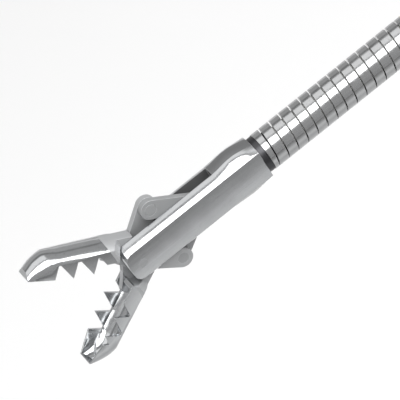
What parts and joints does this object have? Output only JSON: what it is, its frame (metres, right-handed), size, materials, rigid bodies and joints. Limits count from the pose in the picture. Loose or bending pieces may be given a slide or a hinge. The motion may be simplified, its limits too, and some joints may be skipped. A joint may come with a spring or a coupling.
{
  "type": "biopsy forceps",
  "caption": "Working end of flexible biopsy forceps: two toothed cup jaws in a slotted fork, worked by crossing tangs and links from a pull wire inside a flat-wire coil shaft.",
  "frame": {"origin": "centre of the end ferrule's rear face, where the shaft goes on into the rest of the instrument", "axes": "+X along the shaft away from the jaws, +Z the side that the upper jaw opens to"},
  "size_m": [0.0247, 0.002, 0.0064],
  "materials": {
    "fork_steel": "polished",
    "jaw_steel": "polished",
    "link_steel": "satin",
    "pin_steel": "satin",
    "coil_steel": "polished",
    "collar_metal": "darkened by brazing",
    "wire_steel": "drawn",
    "liner_plastic": "plain"
  },
  "bodies": {
    "shaft": {"fork": "fork_steel", "jaw_pivot": "pin_steel", "neck_collar": "collar_metal", "shaft_coil": "coil_steel", "shaft_liner": "liner_plastic", "end_ferrule": "fork_steel"},
    "upper_jaw_body": {"upper_jaw": "jaw_steel", "upper_jaw_rivet": "pin_steel"},
    "lower_jaw_body": {"lower_jaw": "jaw_steel", "lower_jaw_rivet": "pin_steel"},
    "upper_link_body": {"upper_jaw_link": "link_steel"},
    "lower_link_body": {"lower_jaw_link": "link_steel"},
    "pull_body": {"crosshead": "link_steel", "crosshead_pin": "pin_steel", "pull_rod": "wire_steel", "crimp_sleeve": "link_steel", "pull_wire": "wire_steel", "wire_stop": "link_steel"}
  },
  "joints": [
    {"name": "pull_slide", "type": "slide", "parent": "shaft", "child": "pull_body", "axis": [1, 0, 0], "range_m": [0, 0.00109]},
    {"name": "upper_jaw_hinge", "type": "hinge", "parent": "shaft", "child": "upper_jaw_body", "pos_m": [-0.01843, 0, 0], "axis": [0, -1, 0], "range_deg": [0, 32]},
    {"name": "lower_jaw_hinge", "type": "hinge", "parent": "shaft", "child": "lower_jaw_body", "pos_m": [-0.01843, 0, 0], "axis": [0, 1, 0], "range_deg": [0, 32]},
    {"name": "upper_link_hinge", "type": "hinge", "parent": "upper_jaw_body", "child": "upper_link_body", "pos_m": [-0.01684, 0, -0.00154], "axis": [0, 1, 0], "range_deg": [0, 55.5]},
    {"name": "lower_link_hinge", "type": "hinge", "parent": "lower_jaw_body", "child": "lower_link_body", "pos_m": [-0.01684, 0, 0.00154], "axis": [0, -1, 0], "range_deg": [0, 55.5]}
  ],
  "couplings": [
    {"joint": "upper_jaw_hinge", "follows": "pull_slide", "rad_per_m": 513.85},
    {"joint": "lower_jaw_hinge", "follows": "pull_slide", "rad_per_m": 513.85},
    {"joint": "upper_link_hinge", "follows": "pull_slide", "rad_per_m": 891.12},
    {"joint": "lower_link_hinge", "follows": "pull_slide", "rad_per_m": 891.12}
  ]
}
